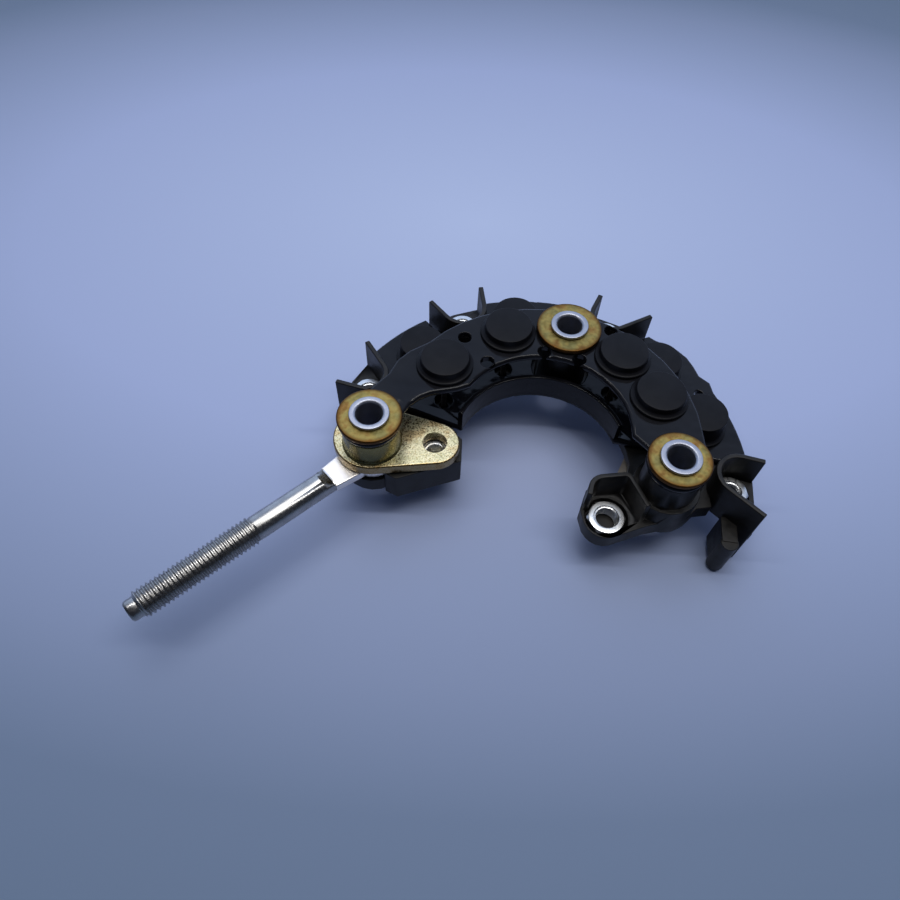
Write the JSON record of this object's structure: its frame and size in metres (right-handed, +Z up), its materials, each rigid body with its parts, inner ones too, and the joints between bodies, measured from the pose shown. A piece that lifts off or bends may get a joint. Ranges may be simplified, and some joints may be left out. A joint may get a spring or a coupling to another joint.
{
  "type": "alternator rectifier",
  "caption": "C-shaped alternator rectifier: two stacked black heat sinks with pressed-in diodes, a moulded terminal block, plated mounting sleeves and a threaded output stud.",
  "frame": {"origin": "centre of the bounding box, at the height of the legs' feet", "axes": "+X away from the output stud along the assembly's length, +Y from the C's mouth towards its back, +Z up through the diode cans' flat tops"},
  "size_m": [0.169, 0.1178, 0.0378],
  "materials": {
    "black_paint": "satin",
    "bright_steel": "bright",
    "brown_plastic": "matte",
    "gold_plating": "satin",
    "insulating_bush": "matte",
    "tinned_copper": "satin",
    "white_zinc": "satin"
  },
  "bodies": {
    "root": {"insulating_bush_left": "insulating_bush", "insulating_bush_middle": "insulating_bush", "insulating_bush_right": "insulating_bush", "lower_diode_1": "black_paint", "lower_diode_2": "black_paint", "lower_diode_3": "black_paint", "lower_diode_4": "black_paint", "lower_heat_sink": "black_paint", "mounting_sleeve_left": "white_zinc", "mounting_sleeve_middle": "white_zinc", "mounting_sleeve_right": "white_zinc", "output_base": "gold_plating", "output_nut": "bright_steel", "output_stud": "bright_steel", "phase_strap_1": "tinned_copper", "phase_strap_2": "tinned_copper", "phase_strap_3": "tinned_copper", "phase_strap_4": "tinned_copper", "plated_washer_left": "gold_plating", "plated_washer_middle": "gold_plating", "plated_washer_right": "gold_plating", "terminal_block": "brown_plastic", "terminal_nut_1": "bright_steel", "terminal_nut_2": "bright_steel", "terminal_nut_3": "bright_steel", "terminal_nut_4": "bright_steel", "terminal_nut_5": "bright_steel", "upper_diode_1": "black_paint", "upper_diode_2": "black_paint", "upper_diode_3": "black_paint", "upper_diode_4": "black_paint", "upper_heat_sink": "black_paint"}
  },
  "joints": []
}
